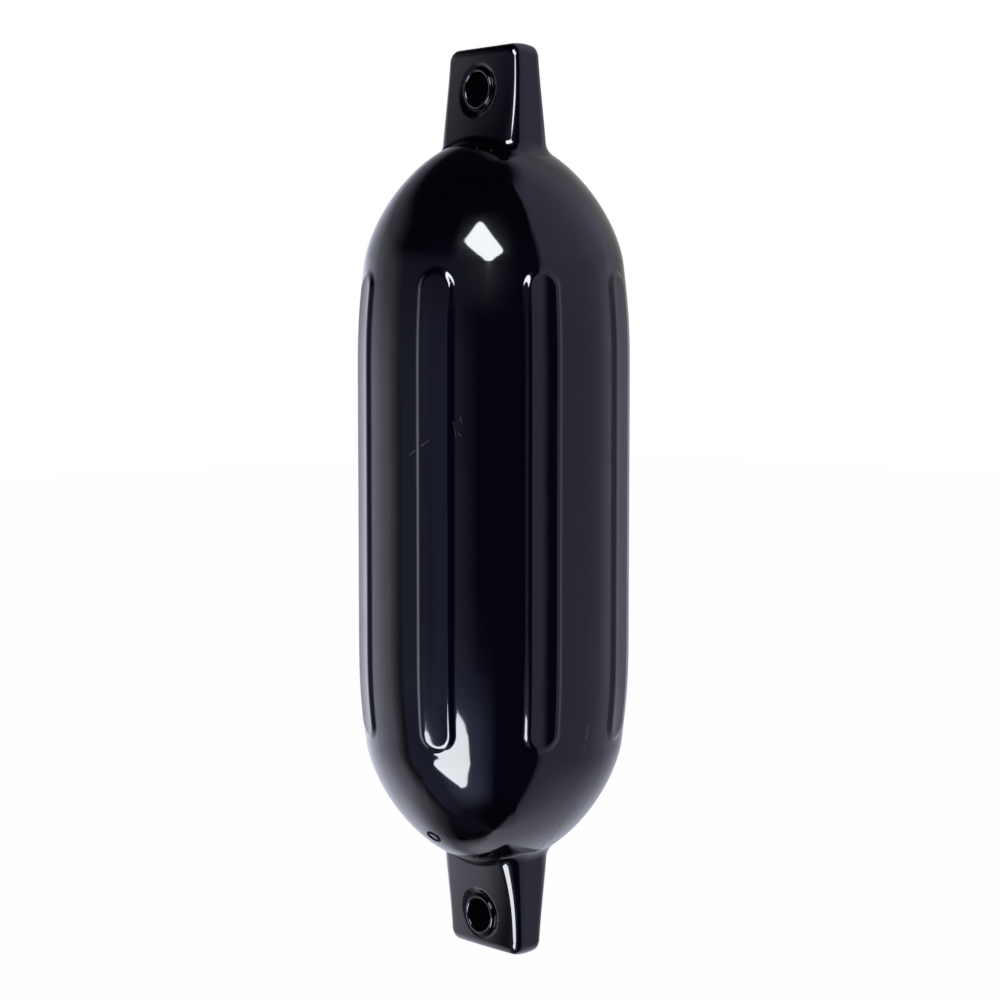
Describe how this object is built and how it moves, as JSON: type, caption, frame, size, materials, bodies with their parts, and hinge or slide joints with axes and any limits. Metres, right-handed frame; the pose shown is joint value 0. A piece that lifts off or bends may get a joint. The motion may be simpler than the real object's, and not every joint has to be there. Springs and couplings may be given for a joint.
{
  "type": "pneumatic fender",
  "caption": "Hollow inflatable boat fender, a ribbed round barrel with domed ends and a solid rope eye at each end.",
  "frame": {"origin": "middle of the overall length, on the barrel's axis", "axes": "+Z along the barrel's axis toward the upper eye, as the fender hangs. The rope holes run along Y. The valve is in the lower dome, on the -Y side"},
  "size_m": [0.1684, 0.1684, 0.559],
  "materials": {
    "vinyl": "glossy black moulded soft vinyl",
    "valve_rubber": "satin black rubber"
  },
  "bodies": {
    "root": {"fender_body": "vinyl", "inflation_valve": "valve_rubber"}
  },
  "joints": []
}
